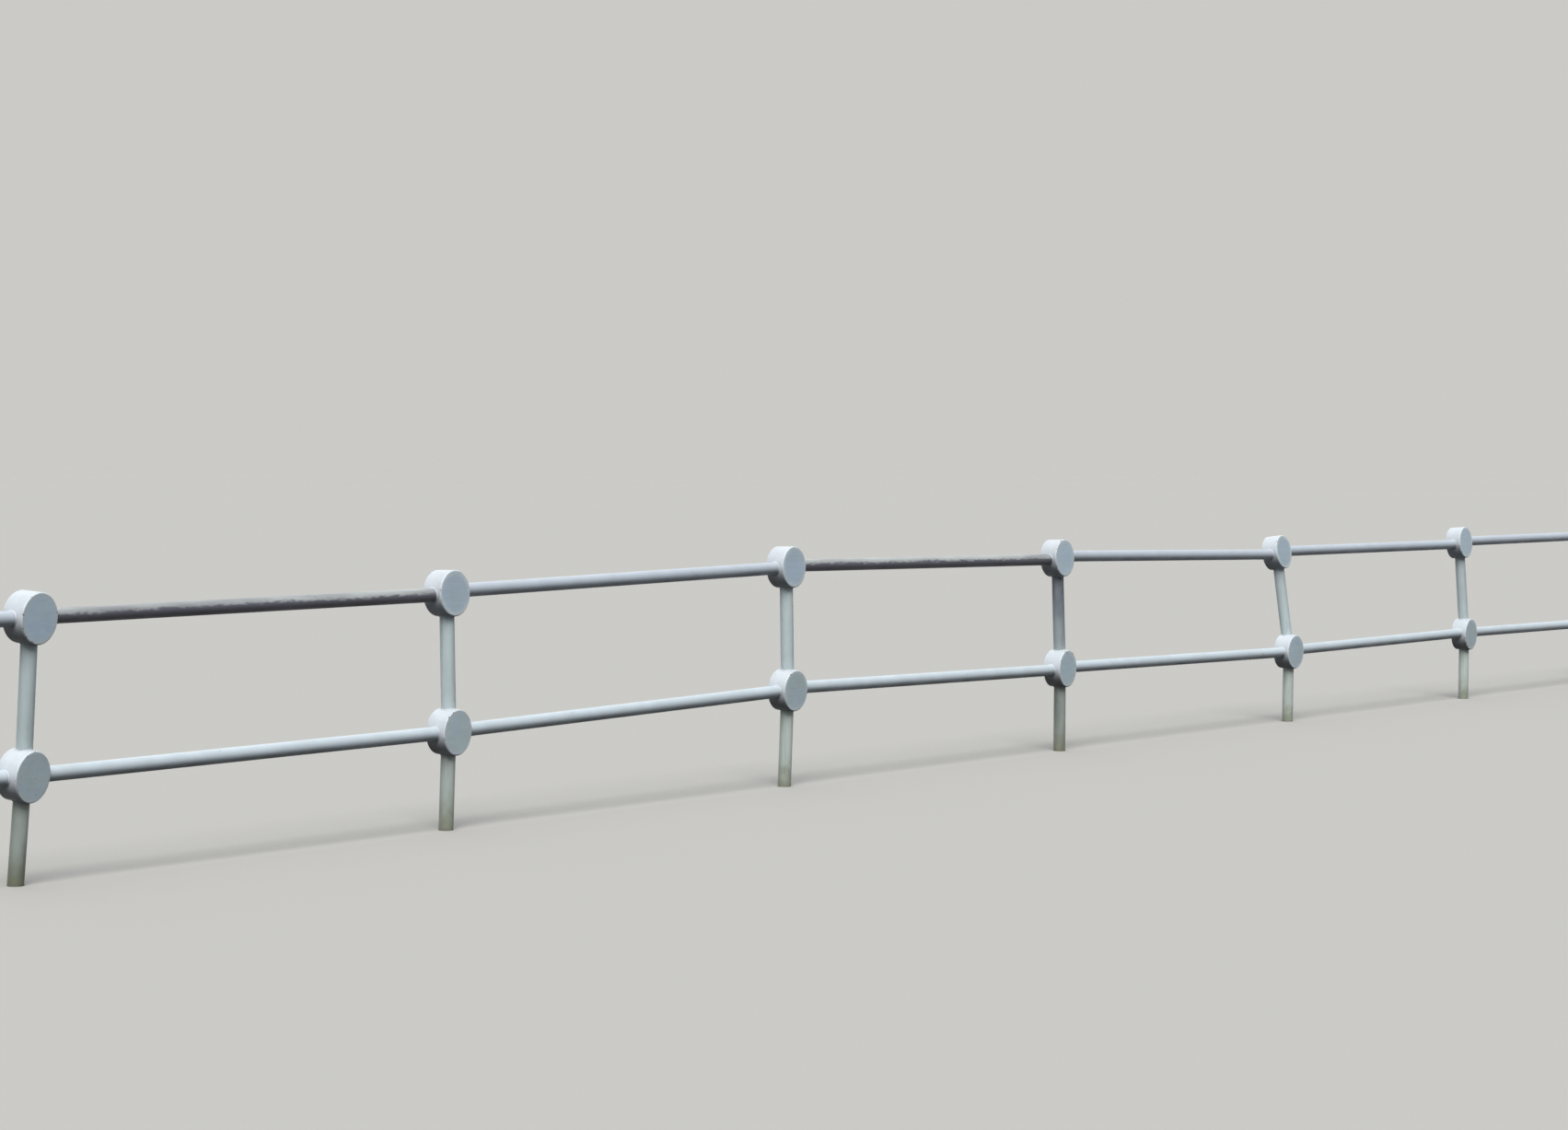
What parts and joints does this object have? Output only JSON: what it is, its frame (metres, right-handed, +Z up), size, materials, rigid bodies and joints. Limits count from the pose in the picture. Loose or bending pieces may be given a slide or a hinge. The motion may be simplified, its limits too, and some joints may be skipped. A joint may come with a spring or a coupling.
{
  "type": "two rail roadside tube railing",
  "caption": "Low roadside railing of round tube: posts with two flat ended drums each, and two rails running from drum to drum.",
  "frame": {"origin": "middle of the fourth post's foot, at ground level", "axes": "+X along the row, from the picture's left to its right; +Y away from the road; +Z up"},
  "size_m": [12.458, 0.2323, 0.9291],
  "materials": {
    "drum_paint": "weathered light grey gloss enamel",
    "cap_paint": "weathered light grey gloss enamel",
    "post_paint": "weathered light grey gloss enamel",
    "rail_paint": "weathered light grey gloss enamel",
    "worn_rail_paint": "the same enamel, dulled and browned with dirt and rust"
  },
  "bodies": {
    "root": {"post_1_tubes": "post_paint", "post_1_lower_drum": "drum_paint", "post_1_upper_drum": "drum_paint", "post_1_drum_caps": "cap_paint", "post_2_tubes": "post_paint", "post_2_lower_drum": "drum_paint", "post_2_upper_drum": "drum_paint", "post_2_drum_caps": "cap_paint", "post_3_tubes": "post_paint", "post_3_lower_drum": "drum_paint", "post_3_upper_drum": "drum_paint", "post_3_drum_caps": "cap_paint", "post_4_tubes": "post_paint", "post_4_lower_drum": "drum_paint", "post_4_upper_drum": "drum_paint", "post_4_drum_caps": "cap_paint", "post_5_tubes": "post_paint", "post_5_lower_drum": "drum_paint", "post_5_upper_drum": "drum_paint", "post_5_drum_caps": "cap_paint", "post_6_tubes": "post_paint", "post_6_lower_drum": "drum_paint", "post_6_upper_drum": "drum_paint", "post_6_drum_caps": "cap_paint", "post_7_tubes": "post_paint", "post_7_lower_drum": "drum_paint", "post_7_upper_drum": "drum_paint", "post_7_drum_caps": "cap_paint", "bay_1_lower_rail": "rail_paint", "bay_1_upper_rail": "worn_rail_paint", "bay_2_lower_rail": "rail_paint", "bay_2_upper_rail": "rail_paint", "bay_3_lower_rail": "rail_paint", "bay_3_upper_rail": "worn_rail_paint", "bay_4_lower_rail": "rail_paint", "bay_4_upper_rail": "rail_paint", "bay_5_lower_rail": "rail_paint", "bay_5_upper_rail": "rail_paint", "bay_6_lower_rail": "rail_paint", "bay_6_upper_rail": "rail_paint", "start_rail_stubs": "rail_paint", "end_rail_stubs": "rail_paint"}
  },
  "joints": []
}
